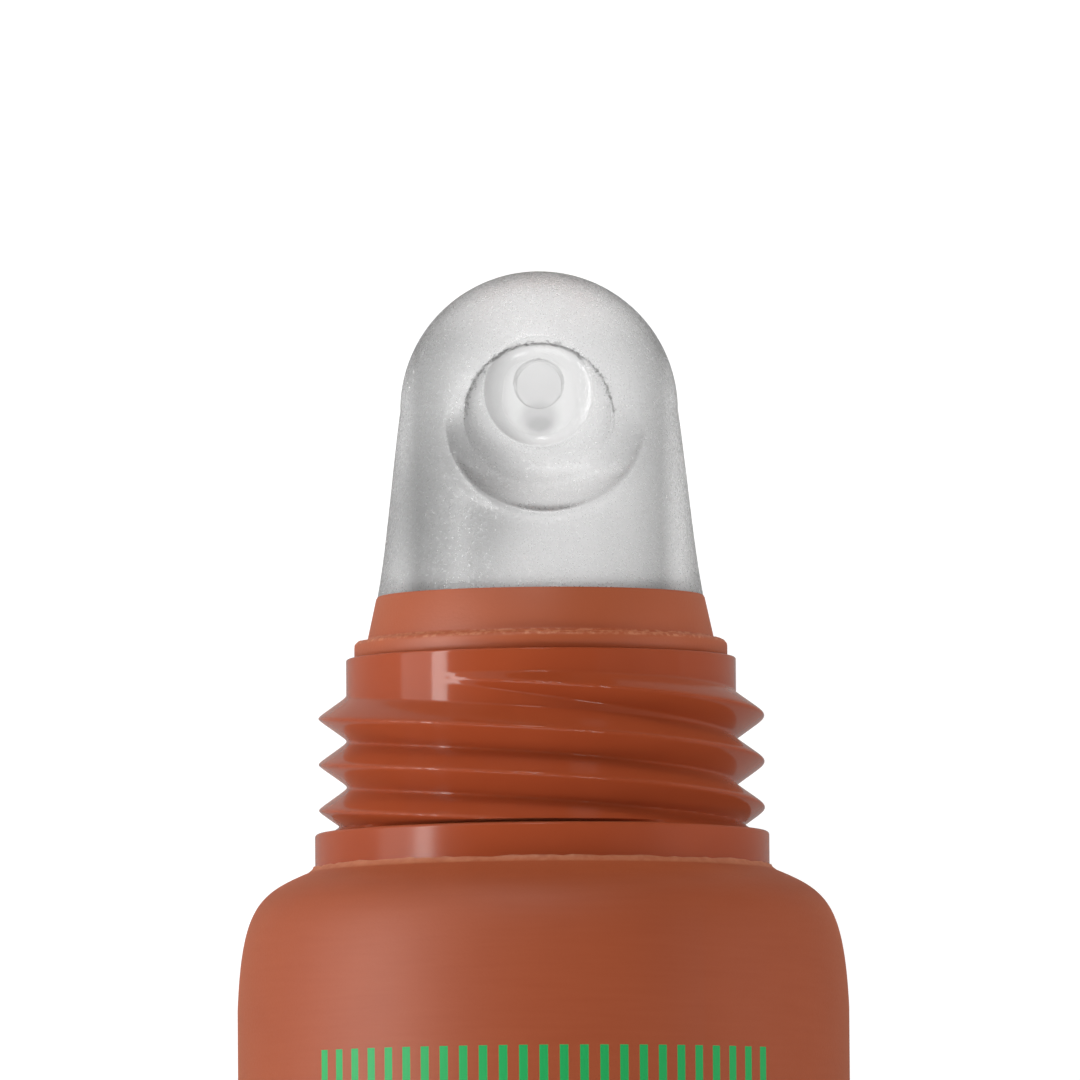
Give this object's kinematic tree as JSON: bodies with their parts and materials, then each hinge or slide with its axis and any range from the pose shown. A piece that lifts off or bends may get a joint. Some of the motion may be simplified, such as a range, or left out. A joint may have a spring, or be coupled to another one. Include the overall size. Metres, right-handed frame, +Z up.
{
  "type": "lip balm tube",
  "caption": "Squeeze tube lying open on its back, with a threaded neck, a soft angled applicator tip and a screw cap lying in line in front of it.",
  "frame": {"origin": "on the table under the middle of the whole object, with the cap lying off in line with the tube", "axes": "+Y along the tube's axis from tail to tip and on to the cap, +Z up, the way the hollowed face of the tip looks"},
  "size_m": [0.0298, 0.102, 0.019],
  "materials": {
    "matte_sleeve": "matte, soft-touch polyethylene film",
    "gloss_head": "gloss moulded polypropylene",
    "satin_collar": "satin moulded polypropylene",
    "soft_tip": "translucent soft elastomer, lightly frosted",
    "balm": "waxy",
    "cap_plastic": "satin moulded polypropylene",
    "liner_plastic": "gloss moulded polypropylene",
    "washer_foam": "foamed polyethylene"
  },
  "bodies": {
    "tube": {"tube_sleeve": "matte_sleeve", "tube_head": "gloss_head", "tip_collar": "satin_collar", "applicator_tip": "soft_tip", "balm_fill": "balm"},
    "cap_seal": {"cap_washer": "washer_foam"},
    "cap": {"cap_shell": "cap_plastic", "cap_liner": "liner_plastic"}
  },
  "joints": [
    {"name": "cap_advance", "type": "slide", "parent": "tube", "child": "cap_seal", "axis": [0, -1, 0], "range_m": [0, 0.0286]},
    {"name": "cap_turn", "type": "hinge", "parent": "cap_seal", "child": "cap", "pos_m": [0, 0.04, 0.0095], "axis": [0, 1, 0], "range_deg": [0, 3600]}
  ],
  "couplings": [
    {"joint": "cap_advance", "follows": "cap_turn", "m_per_rad": 0.00045518}
  ]
}
